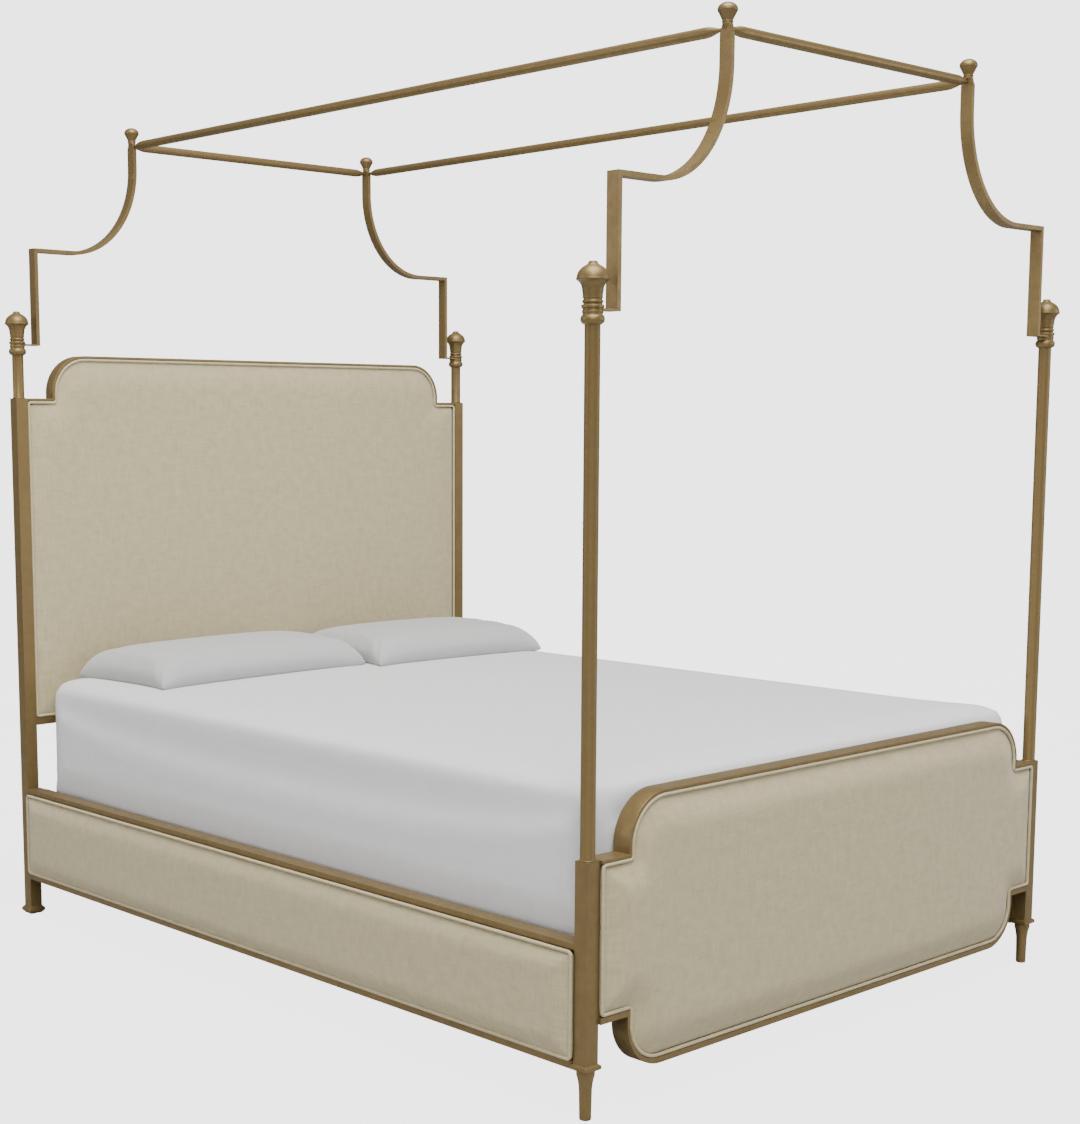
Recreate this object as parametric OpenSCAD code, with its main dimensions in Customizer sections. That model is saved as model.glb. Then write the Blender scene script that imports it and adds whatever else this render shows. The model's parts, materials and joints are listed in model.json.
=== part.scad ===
// Four poster canopy bed: welded metal frame, upholstered headboard, footboard and
// side rails, shaped canopy brackets with a ring of rails, slats, mattress and pillows.
// Millimetres, +Z up, the floor at z = 0, the headboard towards +Y. The origin is on
// the floor under the middle of the whole bed. Left is -X, as seen from the foot.

/* [Overall] */
// Distance between post centres across the bed
post_span = 1600; // [1590:1:1620]
// Distance between post centres along the bed
post_length = 2120; // [2110:1:2140]
// Height of the canopy balls above the floor
total_h = 2170; // [2100:5:2260]

/* [Posts] */
// Width of the square post sleeves
sleeve_w = 34; // [34:0.5:36]
// Diameter of the round upper post tubes
tube_d = 30; // [28:0.5:30]
// Height of the top of the square sleeves at the foot
foot_sleeve_top = 519; // [515:1:525]
// Height of the top of the square sleeves at the head
head_sleeve_top = 1422; // [1415:1:1430]
// Height of the post tops, where the bracket tabs are clamped
post_top = 1563; // [1550:1:1600]

/* [Canopy] */
// Width of the flat bracket bar, along the bed
bar_w = 30; // [24:1:32]
// Thickness of the flat bracket bar
bar_t = 10.5; // [8:0.5:12]
// Distance of the lower bracket legs from the middle of the bed
leg_x = 744; // [738:1:748]
// Height of the middle of the horizontal bracket run
run_z = 1816.5; // [1800:0.5:1830]
// Distance from the middle of the bed at which the bracket starts to sweep up
sweep_x = 632; // [620:1:640]
// Distance of the upper bracket ends from the middle of the bed
top_x = 425; // [415:1:435]
// Diameter of the canopy rails
rail_d = 22; // [18:1:24]

/* [Headboard and footboard] */
// Depth of the metal band of the headboard and the side rails, front to back
band_depth = 38; // [36:1:40]
// Depth of the metal band of the footboard, front to back
foot_band_depth = 45; // [40:1:46]
// Thickness of the metal band round the upholstery
band_t = 6.4; // [5:0.2:8]
// Height of the top of the headboard
head_top = 1539; // [1530:1:1545]
// Height of the underside of the headboard
head_bottom = 529; // [520:1:535]
// Height of the top of the footboard
foot_top = 637; // [634:1:650]
// Height of the underside of the footboard
foot_bottom = 76; // [74:0.5:86]

/* [Side rails] */
// Height of the top of the side rails
rail_top = 354; // [350:1:360]
// Height of the underside of the side rails
rail_bottom = 100; // [95:1:105]

/* [Bedding] */
// Width of the mattress
mattress_w = 1530; // [1500:1:1536]
// Length of the mattress
mattress_l = 2042; // [2000:1:2046]
// Thickness of the mattress
mattress_h = 334; // [250:2:350]
// Number of bed slats
slat_count = 13; // [9:1:15]

/* [Hidden] */

brass = [0.50, 0.43, 0.28];
linen = [0.72, 0.68, 0.59];
piping = [0.79, 0.73, 0.64];
black_cloth = [0.10, 0.10, 0.11];
black_metal = [0.16, 0.16, 0.17];
zinc = [0.62, 0.63, 0.65];
pine = [0.78, 0.64, 0.45];
plywood = [0.68, 0.52, 0.34];
white_cotton = [0.84, 0.84, 0.85];

LEFT = -1;
RIGHT = 1;
FOOT = -1;
HEAD = 1;

gap = 0.2;                      // clearance between pieces fitted into each other
cut = 1;                        // how far a cutting shape runs past the face it cuts
half_w = sleeve_w / 2;
post_x = post_span / 2;
inner_x = post_x - half_w;      // inner faces of the sleeves
wall = 1.8;                     // wall of the square sleeves
bore_d = tube_d - 4;

// How far the upholstery stands out from a post centre: welt, then crown.
welt_reach = half_w + 9;
crown_reach = half_w + 15;
foot_y = -post_length / 2;
head_y = post_length / 2;

collar_z = 101;                 // underside of the square foot collar
collar_reach = 22;              // from the post centre to the sides of the collar
foot_sleeve_z = 114;
head_sleeve_z = 22;
spigot_w = sleeve_w - 2 * wall - 0.4;
tab_t = 4;
tab_top = post_top + tab_t;
tube_grip = 60;                 // how deep the upper tube sits in the sleeve
neck_z = total_h - 39;          // underside of the canopy balls
canopy_z = total_h - 51;        // height of the canopy rails

step_x = 705;                   // side of the raised middle of the two boards
head_ledge = head_sleeve_top;
head_corner_r = 103;
head_bar_h = 20;                // height of the metal bar under the headboard
foot_ledge = foot_sleeve_top + 1;
foot_corner_r = 104;
foot_step_z = 193;              // underside of the lower steps of the footboard
foot_low_r = 99;
low_t = 13;                     // thickness of the footboard band along its lower side
pad_base = 14;                  // depth of the flat part of the pads
board_t = 12;
cover_t = 1.5;
welt_w = 8;
pad_corner_r = 10;

bar_h = 12.5;                   // thickness of the top and bottom bars of the side rails
rail_inner_x = post_x + half_w - band_depth;
pad_lift = 4;                   // bare metal left under the side pads
end_t = 31;                     // length of the end blocks of the side rails
cleat_w = 40;
cleat_t = 3;
slat_z = 300;
slat_t = 20;
slat_w = 70;
slat_end = 2;
strap_w = 40;
strap_t = 1.5;
beam_w = 40;
cross_w = 38;
cross_inset = 60;               // from a post face to the nearer side of a cross rail
centre_leg_d = 32;
centre_leg_y = 460;
glide_stem_d = 10;
glide_fit = 0.05;
mattress_r = 14;
mattress_y = -8;                // the mattress sits a little nearer the foot
mattress_z = slat_z + slat_t + 0.3;

bolt_d = 8;
bolt_head_d = 14;
bolt_head_h = 4;
bolt_end = 12;                  // how far a bolt reaches into the sleeve
rail_bolt_z = [170, 305];
head_bolt_z = [640, 1250];
foot_bolt_z = [230, 420];
head_bolt_y = 6;
foot_bolt_y = -2;

fine = 72;
small = 32;

// Points of a round or elliptical arc from angle a0 to a1.
function arc(cx, cy, rx, ry, a0, a1, n) =
    [for (i = [0:n]) let (a = a0 + (a1 - a0) * i / n) [cx + rx * cos(a), cy + ry * sin(a)]];

module turned(points) {
    rotate_extrude($fn = fine) polygon(points);
}

// Children are drawn for a post whose outside is towards +X and whose end of the bed
// is towards +Y, then mirrored to the corner they belong to.
module at_post(side, end) {
    translate([side * post_x, end == FOOT ? foot_y : head_y, 0])
        mirror([side == LEFT ? 1 : 0, 0, 0])
            mirror([0, end == FOOT ? 1 : 0, 0]) children();
}

// A solid from y0 to y1 whose outline is given as (x, z).
module upright(y0, y1) {
    translate([0, y1, 0]) rotate([90, 0, 0]) linear_extrude(y1 - y0) children();
}

// A solid along X from x0 to x1 whose outline is given as (y, z).
module crosswise(x0, x1) {
    translate([x0, 0, 0]) rotate([90, 0, 90]) linear_extrude(x1 - x0) children();
}

module rounded_square(w, l, r) {
    translate([-w / 2 + r, -l / 2]) square([w - 2 * r, l]);
    translate([-w / 2, -l / 2 + r]) square([w, l - 2 * r]);
    for (sx = [-1, 1], sy = [-1, 1])
        translate([sx * (w / 2 - r), sy * (l / 2 - r)]) circle(r, $fn = fine);
}

// A square block with the same profile (half width, z) on all four sides.
module square_turned(profile) {
    w = max([for (p = profile) p[0]]) + cut;
    outline = concat(profile, [for (i = [len(profile) - 1:-1:0]) [-profile[i][0], profile[i][1]]]);
    intersection() {
        upright(-w, w) polygon(outline);
        crosswise(-w, w) polygon(outline);
    }
}

/* ---- bolts that join the rails and boards to the posts ---- */

// One bolt along +Z with its head sunk in the plate below z = 0.
module bolt_shape(d, head_d, plate) {
    translate([0, 0, -plate]) cylinder(d = head_d, h = bolt_head_h, $fn = small);
    translate([0, 0, -plate]) cylinder(d = d, h = plate + bolt_end, $fn = small);
}

// The bolts of one post, or, with more clearance, the holes for them.
module post_bolts(end, clear) {
    d = bolt_d + clear;
    head_d = bolt_head_d + clear;
    at_post_y = end == FOOT ? foot_bolt_y : head_bolt_y;
    for (z = rail_bolt_z)
        translate([-3, -half_w, z]) rotate([-90, 0, 0]) bolt_shape(d, head_d, end_t);
    for (z = end == FOOT ? foot_bolt_z : head_bolt_z)
        translate([-half_w, at_post_y, z]) rotate([0, 90, 0]) bolt_shape(d, head_d, band_t);
}

module bolts() {
    color(zinc)
        for (side = [LEFT, RIGHT], end = [FOOT, HEAD]) at_post(side, end) post_bolts(end, 0);
}

module bolt_holes() {
    for (side = [LEFT, RIGHT], end = [FOOT, HEAD]) at_post(side, end) post_bolts(end, 0.6);
}

/* ---- posts ---- */

module sleeve(side, end) {
    z0 = end == FOOT ? foot_sleeve_z : head_sleeve_z;
    z1 = end == FOOT ? foot_sleeve_top : head_sleeve_top;
    inside = sleeve_w - 2 * wall;
    color(brass) at_post(side, end) difference() {
        translate([-half_w, -half_w, z0]) cube([sleeve_w, sleeve_w, z1 - z0]);
        translate([-inside / 2, -inside / 2, z0 - cut]) cube([inside, inside, z1 - z0 - wall + cut]);
        cylinder(d = tube_d + gap, h = z1 + cut, $fn = fine);
        post_bolts(end, 0.6);
    }
}

// Round upper tube with a bead at its base and a turned bulb under the bracket tab.
module post_tube(side, end) {
    z0 = end == FOOT ? foot_sleeve_top : head_sleeve_top;
    r = tube_d / 2;
    color(brass) at_post(side, end) difference() {
        union() {
            translate([0, 0, z0 - tube_grip]) cylinder(r = r, h = tube_grip + 5, $fn = fine);
            turned(concat([[0, z0]], arc(r, z0 + 1.2, 1.6, 1.2, -90, 90, 6),
                [[r, post_top - 27]],
                arc(r + 0.8, post_top - 16.5, 7.2, 9, -75, 62, 12),
                [[r + 4, post_top - 6], [r + 5, post_top - 4.5], [r + 5, post_top], [0, post_top]]));
        }
        translate([0, 0, z0 - tube_grip - cut])
            cylinder(d = bore_d, h = post_top - z0 + tube_grip - 40, $fn = fine);
        translate([0, 0, post_top - 26]) cylinder(d = 10.2, h = 26 + cut, $fn = small);
    }
}

// Square collar with a turned, tapering leg below it and a spigot up into the sleeve.
module turned_leg(side) {
    flare_r = 125;
    flare_a = asin(35 / flare_r);
    color(brass) at_post(side, FOOT) {
        turned(concat([[0, 0], [9, 0]], arc(9, 3, 3, 3, -90, 0, 5), [[12.2, 20]],
            arc(13 + flare_r, 56, flare_r, flare_r, 180, 180 - flare_a, 10),
            [[18.5, 92], [18.5, collar_z], [0, collar_z]]));
        square_turned([[18, collar_z], [collar_reach, collar_z + 3], [collar_reach, foot_sleeve_z - 3.5],
            [half_w, foot_sleeve_z]]);
        translate([-spigot_w / 2, -spigot_w / 2, foot_sleeve_z - cut])
            cube([spigot_w, spigot_w, 36 + cut]);
    }
}

// Square spreading foot under a head post.
module head_base(side) {
    color(brass) at_post(side, HEAD) {
        square_turned([[half_w, 0], [half_w + 1, 2], [23.75, 8], [23.75, 14], [half_w, head_sleeve_z]]);
        translate([-spigot_w / 2, -spigot_w / 2, head_sleeve_z - cut])
            cube([spigot_w, spigot_w, 36 + cut]);
    }
}

module post_finial(side, end) {
    z = tab_top;
    color(brass) at_post(side, end) {
        turned(concat([[0, z], [20.5, z], [21.5, z + 1], [21.5, z + 5], [20.5, z + 6],
            [17.5, z + 7], [17.5, z + 8.5]],
            arc(17.6, z + 12, 2.4, 3, -80, 80, 6),
            [[17.5, z + 15.5], [17.5, z + 17], [18.8, z + 18.5], [18.8, z + 25], [20, z + 31]],
            arc(37, z + 31, 17, 22, 180, 109, 8),
            [[31.8, z + 53.2], [31.6, z + 54.6]],
            arc(0, z + 55, 30.6, 26, 0, 60, 10),
            [[11, z + 80.2], [9.2, z + 82], [8.8, z + 84.4], [6.6, z + 86], [0, z + 86.4]]));
        translate([0, 0, z - 22]) cylinder(d = 10, h = 22 + cut, $fn = small);
    }
}

/* ---- canopy ---- */

// Side view of the bracket bar as (x, z): leg, square corner, run, quarter-ellipse
// sweep and upright end, with half the bar's thickness to each side.
function bracket_side(off) = concat(
    [[leg_x + off, post_top], [leg_x + off, run_z + off]],
    [for (i = [0:32]) let (a = 90 * i / 32, rx = sweep_x - top_x, rz = neck_z - 75 - run_z,
        nx = sin(a) / rx, nz = cos(a) / rz, n = norm([nx, nz]))
        [sweep_x - rx * sin(a) + off * nx / n, run_z + rz * (1 - cos(a)) + off * nz / n]],
    [[top_x + off, neck_z - 4]]);

module bracket(side, end) {
    outline = concat(bracket_side(bar_t / 2),
        [for (i = [len(bracket_side(0)) - 1:-1:0]) bracket_side(-bar_t / 2)[i]]);
    shoulder = neck_z - 21;
    neck_reach = 6;             // the turned neck stands out this far past the bar
    w = bar_w / 2;
    color(brass)
        translate([0, end == FOOT ? foot_y : head_y, 0]) mirror([side == LEFT ? 1 : 0, 0, 0])
            mirror([0, end == FOOT ? 1 : 0, 0])
    difference() {
        union() {
            intersection() {
                upright(-w, w) polygon(outline);
                crosswise(0, post_x) polygon(concat([[-w, 0], [w, 0], [w, shoulder]],
                    arc(w - 6, shoulder, 6, 9, 0, 60, 5), [[10.6, neck_z - 6], [10.6, neck_z]],
                    [[-10.6, neck_z], [-10.6, neck_z - 6]],
                    arc(6 - w, shoulder, 6, 9, 120, 180, 5)));
            }
            translate([top_x, 0, 0]) turned([[0, neck_z - 14], [4, neck_z - 14],
                [10.6, neck_z - 4], [10.6, neck_z], [0, neck_z]]);
            translate([leg_x, -w, post_top]) cube([post_x - leg_x, bar_w, tab_t]);
            translate([post_x, 0, post_top]) cylinder(r = w + 4, h = tab_t, $fn = fine);
        }
        translate([post_x, 0, post_top - cut]) cylinder(d = 10.6, h = tab_t + 2 * cut, $fn = small);
        translate([top_x, 0, neck_z - 6.4]) cylinder(d = 8.2, h = 6.4 + cut, $fn = small);
        translate([top_x - bar_t / 2 - neck_reach, 0, canopy_z]) rotate([0, 90, 0])
            cylinder(d = 8.2, h = neck_reach + 3.2, $fn = small);
        translate([top_x, -w - cut, canopy_z]) rotate([-90, 0, 0])
            cylinder(d = 8.2, h = 8 + cut, $fn = small);
    }
}

module ball(side, end) {
    z = neck_z;
    color(brass) translate([side * top_x, end == FOOT ? foot_y : head_y, 0]) {
        turned(concat([[0, z], [11, z], [11.5, z + 1], [11.5, z + 2.2], [10.6, z + 3]],
            [[10.4, z + 4], [19.4, z + 21.5]],
            arc(0, z + 24.4, 20.2, 14.6, -8, 90, 18)));
        translate([0, 0, z - 6]) cylinder(d = 8, h = 6 + cut, $fn = small);
    }
}

// One canopy rail along +Z from 0, with bullet ends and studs that enter the brackets.
module canopy_rail(length, stud_in) {
    r = rail_d / 2;
    nose = 35;
    stud = 7;
    taper = [for (i = [0:10]) let (s = i / 10) [4.4 + (r - 4.4) * sin(90 * s), stud + nose * s]];
    taper_far = [for (i = [10:-1:0]) [taper[i][0], length - taper[i][1]]];
    turned(concat([[0, -stud_in], [4, -stud_in], [4, stud]], taper, taper_far,
        [[4, length - stud], [4, length + stud_in], [0, length + stud_in]]));
}

module canopy_rail_side(side) {
    y0 = foot_y + bar_w / 2;
    y1 = head_y - bar_w / 2;
    color(brass) translate([side * top_x, y0, canopy_z]) rotate([-90, 0, 0])
        canopy_rail(y1 - y0, 7.5);
}

module canopy_rail_end(end) {
    x0 = top_x - bar_t / 2;
    color(brass) translate([-x0, end == FOOT ? foot_y : head_y, canopy_z]) rotate([0, 90, 0])
        canopy_rail(2 * x0, 3);
}

/* ---- headboard: outlines are (x, z), inset at the sides, edges and bottom ---- */

module head_outline(side, edge, bottom) {
    r = head_corner_r;
    low = head_bottom + bottom;
    translate([side - inner_x, low]) square([2 * (inner_x - side), head_ledge - edge - low]);
    translate([edge - step_x, low]) square([2 * (step_x - edge), head_top - r - low]);
    translate([r - step_x, low]) square([2 * (step_x - r), head_top - edge - low]);
    for (s = [-1, 1]) translate([s * (step_x - r), head_top - r]) circle(r - edge, $fn = 96);
}

module headboard_band() {
    front = head_y - half_w + 1;
    back = front + band_depth;
    color(brass) difference() {
        upright(front, back) head_outline(0, 0, 0);
        upright(front - cut, back + cut) head_outline(band_t, band_t, head_bar_h);
        upright(front - cut, front + pad_base) head_outline(-cut, band_t, head_bar_h);
        bolt_holes();
    }
}

module headboard_board() {
    y = head_y - half_w + 1 + pad_base;
    color(plywood) upright(y, y + board_t)
        head_outline(band_t + gap, band_t + gap, head_bar_h + gap);
}

module headboard_pad() {
    y = head_y - half_w + 1;
    edge = band_t + gap;
    inner = edge + welt_w + gap;
    color(linen) {
        upright(y + 6, y + pad_base) head_outline(gap, edge, head_bar_h + gap);
        upright(y - 7, y + 6) head_outline(inner - band_t, inner, head_bar_h + inner - band_t);
    }
}

module headboard_welt() {
    y = head_y - half_w + 1;
    edge = band_t + gap;
    inner = edge + welt_w;
    color(piping) upright(y - 2, y + 6) difference() {
        head_outline(gap, edge, head_bar_h + gap);
        head_outline(inner - band_t, inner, head_bar_h + inner - band_t);
    }
}

module headboard_cover() {
    y = head_y - half_w + 1 + pad_base + board_t;
    color(black_cloth) upright(y, y + cover_t)
        head_outline(band_t + gap, band_t + gap, head_bar_h + gap);
}

/* ---- footboard: a cartouche with stepped, rounded corners above and below ---- */

module foot_outline(side, edge, low) {
    r = foot_corner_r;
    lr = foot_low_r;
    middle = (foot_ledge + foot_step_z) / 2;
    translate([side - inner_x, foot_step_z + low])
        square([2 * (inner_x - side), foot_ledge - edge - foot_step_z - low]);
    translate([edge - step_x, middle]) square([2 * (step_x - edge), foot_top - r - middle]);
    translate([r - step_x, middle]) square([2 * (step_x - r), foot_top - edge - middle]);
    low_side = step_x - edge - lr + low;
    translate([edge - step_x, foot_bottom + lr])
        square([2 * (step_x - edge), middle - foot_bottom - lr]);
    translate([-low_side, foot_bottom + low])
        square([2 * low_side, middle - foot_bottom - low]);
    for (s = [-1, 1]) {
        translate([s * (step_x - r), foot_top - r]) circle(r - edge, $fn = 96);
        translate([s * low_side, foot_bottom + lr]) circle(lr - low, $fn = 96);
    }
}

foot_face = foot_y - welt_reach + 2;    // front of the footboard band

module footboard_band() {
    back = foot_face + foot_band_depth;
    color(brass) difference() {
        upright(foot_face, back) foot_outline(0, 0, 0);
        upright(foot_face - cut, back + cut) foot_outline(band_t, band_t, low_t);
        upright(foot_face - cut, foot_face + pad_base) foot_outline(-cut, band_t, low_t);
        bolt_holes();
        for (side = [LEFT, RIGHT]) to_side(side) rail_end_room();
    }
}

// Room at the back of the footboard band for the inner corner of a side rail's end.
module rail_end_room() {
    translate([rail_inner_x - gap, rail_y0 - gap, 0])
        cube([band_depth, foot_band_depth, rail_top + gap]);
}

module footboard_board() {
    y = foot_face + pad_base;
    color(plywood) upright(y, y + board_t) foot_outline(band_t + gap, band_t + gap, low_t + gap);
}

module footboard_pad() {
    edge = band_t + gap;
    inner = edge + welt_w + gap;
    color(linen) {
        upright(foot_face + 6, foot_face + pad_base) foot_outline(gap, edge, low_t + gap);
        upright(foot_face - 8, foot_face + 6)
            foot_outline(inner - band_t, inner, low_t + inner - band_t);
    }
}

module footboard_welt() {
    edge = band_t + gap;
    inner = edge + welt_w;
    color(piping) upright(foot_face - 2, foot_face + 6) difference() {
        foot_outline(gap, edge, low_t + gap);
        foot_outline(inner - band_t, inner, low_t + inner - band_t);
    }
}

module footboard_cover() {
    y = foot_face + pad_base + board_t;
    color(black_cloth) upright(y, y + cover_t)
        foot_outline(band_t + gap, band_t + gap, low_t + gap);
}

/* ---- side rails, drawn for the right side and mirrored for the left ---- */

rail_y0 = foot_y + half_w;
rail_y1 = head_y - half_w;
pad_x = post_x + 8;             // back of the side pads

module to_side(side) {
    mirror([side == LEFT ? 1 : 0, 0, 0]) children();
}

module side_outline(inset) {
    low = rail_bottom + bar_h + pad_lift;
    high = rail_top - bar_h;
    translate([(rail_y0 + rail_y1) / 2, (low + high) / 2])
        rounded_square(rail_y1 - rail_y0 - 2 * inset, high - low - 2 * inset,
            pad_corner_r + 2 - inset / 2);
}

module rail_frame(side) {
    length = rail_y1 - rail_y0;
    outer = post_x + half_w;
    cleat_y = 30;
    color(brass) difference() {
        to_side(side) {
            translate([rail_inner_x, rail_y0, rail_top - bar_h]) cube([band_depth, length, bar_h]);
            translate([rail_inner_x, rail_y0, rail_bottom]) cube([band_depth, length, bar_h + pad_lift]);
            for (y = [rail_y0, rail_y1 - end_t]) translate([rail_inner_x, y, rail_bottom])
                cube([pad_x - rail_inner_x, end_t, rail_top - rail_bottom]);
            translate([rail_inner_x - cleat_t, rail_y0 + cleat_y, slat_z - cleat_t])
                cube([cleat_t, length - 2 * cleat_y, rail_top - slat_z + cleat_t]);
            translate([rail_inner_x - cleat_w, rail_y0 + cleat_y, slat_z - cleat_t])
                cube([cleat_w, length - 2 * cleat_y, cleat_t]);
        }
        bolt_holes();
        collar_notch(side);
    }
}

// Room in the end of a rail for the collar and the top of the turned leg.
module collar_notch(side) {
    reach = collar_reach + 0.3;
    translate([side * post_x - reach, foot_y - reach, rail_bottom - cut])
        cube([2 * reach, 2 * reach, foot_sleeve_z + 0.3 - rail_bottom + cut]);
}

// A flat sheet inside the rail frame, from x0 to x1.
module rail_sheet(side, x0, x1) {
    low = rail_bottom + bar_h + pad_lift + gap;
    to_side(side) translate([x0, rail_y0 + end_t + gap, low])
        cube([x1 - x0, rail_y1 - rail_y0 - 2 * (end_t + gap), rail_top - bar_h - gap - low]);
}

module rail_board(side) {
    color(plywood) rail_sheet(side, pad_x - board_t, pad_x);
}

module rail_cover(side) {
    color(black_cloth) rail_sheet(side, rail_inner_x + 1, rail_inner_x + 1 + cover_t);
}

module rail_pad(side) {
    welt_x = post_x + welt_reach - welt_w;
    color(linen) to_side(side) {
        crosswise(pad_x, welt_x) side_outline(gap);
        crosswise(welt_x, post_x + crown_reach) side_outline(2 * gap + welt_w);
    }
}

module rail_welt(side) {
    welt_x = post_x + welt_reach - welt_w;
    color(piping) to_side(side) crosswise(welt_x, post_x + welt_reach) difference() {
        side_outline(gap);
        side_outline(gap + welt_w);
    }
}

/* ---- slat support ---- */

module box_tube(size, t, along_x) {
    difference() {
        cube(size);
        translate(along_x ? [-cut, t, t] : [t, -cut, t])
            cube([size[0] + (along_x ? 2 * cut : -2 * t), size[1] + (along_x ? -2 * t : 2 * cut),
                size[2] - 2 * t]);
    }
}

cross_y0 = foot_y + half_w + cross_inset;
cross_y1 = head_y - half_w - cross_inset - cross_w;
cross_x = rail_inner_x - cleat_t;

module cross_rail(end) {
    color(black_metal)
        translate([-cross_x, end == FOOT ? cross_y0 : cross_y1, slat_z - cleat_t - cross_w])
            box_tube([2 * cross_x, cross_w, cross_w], 2, true);
}

module centre_beam() {
    color(black_metal) translate([-beam_w / 2, cross_y0 + cross_w, slat_z - beam_w])
        box_tube([beam_w, cross_y1 - cross_y0 - cross_w, beam_w], 2, false);
}

module centre_leg(end) {
    base = 30;
    top = slat_z - beam_w;
    color(black_metal) translate([0, end * centre_leg_y, 0]) difference() {
        union() {
            translate([0, 0, base]) cylinder(d = centre_leg_d, h = top - base, $fn = fine);
            translate([-35, -beam_w / 2, top - 4]) cube([70, beam_w, 4]);
        }
        translate([0, 0, base - cut])
            cylinder(d = glide_stem_d + 2 * glide_fit, h = 60 + cut, $fn = fine);
        translate([0, 0, base + 60]) cylinder(d = centre_leg_d - 4, h = top - base - 70, $fn = fine);
    }
}

// Levelling glide: a floor pad, a nut and a stem in the bore of the centre leg.
module glide(end) {
    color(zinc) translate([0, end * centre_leg_y, 0]) {
        turned([[0, 0], [20, 0], [22, 2], [22, 5], [14, 8], [0, 8]]);
        translate([0, 0, 8 - cut]) cylinder(d = 18, h = 5 + cut, $fn = 6);
        translate([0, 0, 8]) cylinder(d = glide_stem_d, h = 50, $fn = fine);
    }
}

// Pine slats held at an even pitch by two straps under them.
module slats() {
    first = cross_y0;
    pitch = (cross_y1 + cross_w - slat_w - first) / (slat_count - 1);
    reach = cross_x - slat_end;
    color(pine) {
        for (i = [0:slat_count - 1]) translate([-reach, first + i * pitch, slat_z])
            cube([2 * reach, slat_w, slat_t]);
        for (s = [-1, 1])
            translate([s * reach / 2 - strap_w / 2, first, slat_z - strap_t])
                cube([strap_w, slat_w + (slat_count - 1) * pitch, strap_t]);
    }
}

/* ---- bedding ---- */

module mattress() {
    color(white_cotton) translate([0, mattress_y, mattress_z]) linear_extrude(mattress_h)
        rounded_square(mattress_w, mattress_l, mattress_r);
}

// A pillow as stacked rounded slabs, flat below and crowned above.
module pillow(x, y, w, d, h, turn) {
    color(white_cotton) translate([x, y, mattress_z + mattress_h + 1]) rotate([0, 0, turn]) hull() {
        for (level = [[0, 40], [0.3, 0], [0.7, 60], [1, 190]])
            translate([0, 0, level[0] * (h - 2)]) linear_extrude(2)
                rounded_square(w - level[1], d - level[1], 30, $fn = small);
    }
}

module pillow_left() {
    pillow(-304, 820, 730, 380, 112, 3.5);
}

module pillow_right() {
    pillow(398.6, 784, 624, 420, 110, -3);
}

post_tube(LEFT, FOOT);  // post_tube_foot_left
post_tube(RIGHT, FOOT);  // post_tube_foot_right
post_tube(LEFT, HEAD);  // post_tube_head_left
post_tube(RIGHT, HEAD);  // post_tube_head_right
sleeve(LEFT, FOOT);  // sleeve_foot_left
sleeve(RIGHT, FOOT);  // sleeve_foot_right
sleeve(LEFT, HEAD);  // sleeve_head_left
sleeve(RIGHT, HEAD);  // sleeve_head_right
turned_leg(LEFT);  // turned_leg_left
turned_leg(RIGHT);  // turned_leg_right
head_base(LEFT);  // head_base_left
head_base(RIGHT);  // head_base_right
post_finial(LEFT, FOOT);  // post_finial_foot_left
post_finial(RIGHT, FOOT);  // post_finial_foot_right
post_finial(LEFT, HEAD);  // post_finial_head_left
post_finial(RIGHT, HEAD);  // post_finial_head_right
bracket(LEFT, FOOT);  // bracket_foot_left
bracket(RIGHT, FOOT);  // bracket_foot_right
bracket(LEFT, HEAD);  // bracket_head_left
bracket(RIGHT, HEAD);  // bracket_head_right
ball(LEFT, FOOT);  // ball_foot_left
ball(RIGHT, FOOT);  // ball_foot_right
ball(LEFT, HEAD);  // ball_head_left
ball(RIGHT, HEAD);  // ball_head_right
canopy_rail_side(LEFT);  // canopy_rail_left
canopy_rail_side(RIGHT);  // canopy_rail_right
canopy_rail_end(FOOT);  // canopy_rail_foot
canopy_rail_end(HEAD);  // canopy_rail_head
headboard_band();
headboard_board();
headboard_pad();
headboard_welt();
headboard_cover();
footboard_band();
footboard_board();
footboard_pad();
footboard_welt();
footboard_cover();
rail_frame(LEFT);  // rail_frame_left
rail_board(LEFT);  // rail_board_left
rail_pad(LEFT);  // rail_pad_left
rail_welt(LEFT);  // rail_welt_left
rail_cover(LEFT);  // rail_cover_left
rail_frame(RIGHT);  // rail_frame_right
rail_board(RIGHT);  // rail_board_right
rail_pad(RIGHT);  // rail_pad_right
rail_welt(RIGHT);  // rail_welt_right
rail_cover(RIGHT);  // rail_cover_right
cross_rail(FOOT);  // cross_rail_foot
cross_rail(HEAD);  // cross_rail_head
centre_beam();
centre_leg(FOOT);  // centre_leg_foot
centre_leg(HEAD);  // centre_leg_head
glide(FOOT);  // glide_foot
glide(HEAD);  // glide_head
slats();
bolts();
mattress();
pillow_left();
pillow_right();
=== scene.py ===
"""The looks of a four poster canopy bed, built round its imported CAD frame."""

import json
import math

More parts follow.
